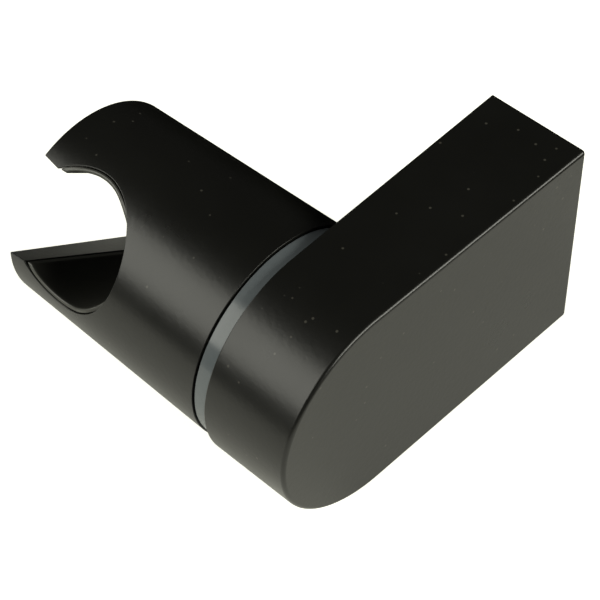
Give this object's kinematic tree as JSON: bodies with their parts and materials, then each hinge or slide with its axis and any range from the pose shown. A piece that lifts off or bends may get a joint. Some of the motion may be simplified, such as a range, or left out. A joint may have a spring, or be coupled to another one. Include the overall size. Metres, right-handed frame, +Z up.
{
  "type": "handheld shower wall bracket",
  "caption": "Wall bracket for a handheld shower: an arm housing with a round nose and a swivelling holder barrel with a slanted, slotted conical bore.",
  "frame": {"origin": "middle of the wall plate's back face, on the wall", "axes": "+Y into the wall, +Z up, X along the swivel axis with the holder barrel on the -X side"},
  "size_m": [0.0652, 0.0666, 0.04],
  "materials": {
    "housing_paint": "matt black powder coat on cast zinc",
    "barrel_paint": "matt black powder coat on cast zinc",
    "liner_plastic": "moulded black plastic",
    "ring_nylon": "turned grey nylon, satin gloss",
    "sheet_steel": "bent stainless sheet",
    "screw_steel": "machined stainless",
    "spring_steel": "hardened spring strip",
    "hub_brass": "turned brass",
    "bearing_acetal": "white acetal",
    "seal_rubber": "black nitrile rubber"
  },
  "bodies": {
    "arm": {"arm_housing": "housing_paint", "wall_plate": "sheet_steel", "lock_screw": "screw_steel", "hub_set_screw": "screw_steel", "pivot_hub": "hub_brass", "spigot_o_ring": "seal_rubber", "friction_ring": "ring_nylon", "friction_o_ring": "seal_rubber", "pivot_bolt": "screw_steel", "slip_washer": "bearing_acetal", "disc_spring_1": "spring_steel", "disc_spring_2": "spring_steel", "disc_spring_3": "spring_steel", "disc_spring_4": "spring_steel", "flat_washer": "screw_steel"},
    "holder": {"holder_barrel": "barrel_paint", "bore_liner": "liner_plastic", "hub_bush": "bearing_acetal"}
  },
  "joints": [
    {"name": "holder_swivel", "type": "hinge", "parent": "arm", "child": "holder", "pos_m": [-0.0094, -0.0466, 0], "axis": [1, 0, 0], "continuous": true}
  ]
}
